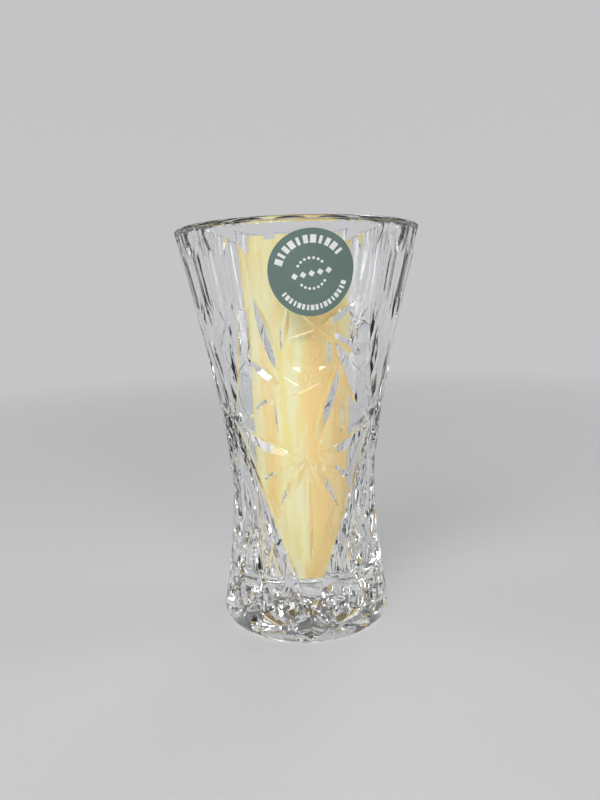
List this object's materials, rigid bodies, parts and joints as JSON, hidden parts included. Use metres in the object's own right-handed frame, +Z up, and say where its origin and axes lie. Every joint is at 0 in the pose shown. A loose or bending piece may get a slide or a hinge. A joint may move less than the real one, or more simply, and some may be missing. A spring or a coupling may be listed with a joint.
{
  "type": "cut crystal vase",
  "caption": "Waisted clear crystal vase with mitre-cut leaf stars, a round lens in each panel, a thumbprint rim, a round label, and a loose roll of yellow paper inside.",
  "frame": {"origin": "centre of the foot, on the plane it stands on", "axes": "+Z up, the vase's own axis; the middle of the labelled front panel looks along -Y"},
  "size_m": [0.0759, 0.0764, 0.127],
  "materials": {
    "crystal": "clear fire-polished crystal with sharp polished mitre cuts",
    "label_paper": "satin grey-green sticker with white print",
    "yellow_paper": "matt butter-yellow tissue paper, loosely rolled"
  },
  "bodies": {
    "vase": {"crystal_vase": "crystal", "round_label": "label_paper"},
    "paper": {"paper_roll": "yellow_paper"}
  },
  "joints": [
    {"name": "paper_lift", "type": "slide", "parent": "vase", "child": "paper", "axis": [0, 0, 1], "range_m": [0, 0.12]}
  ]
}
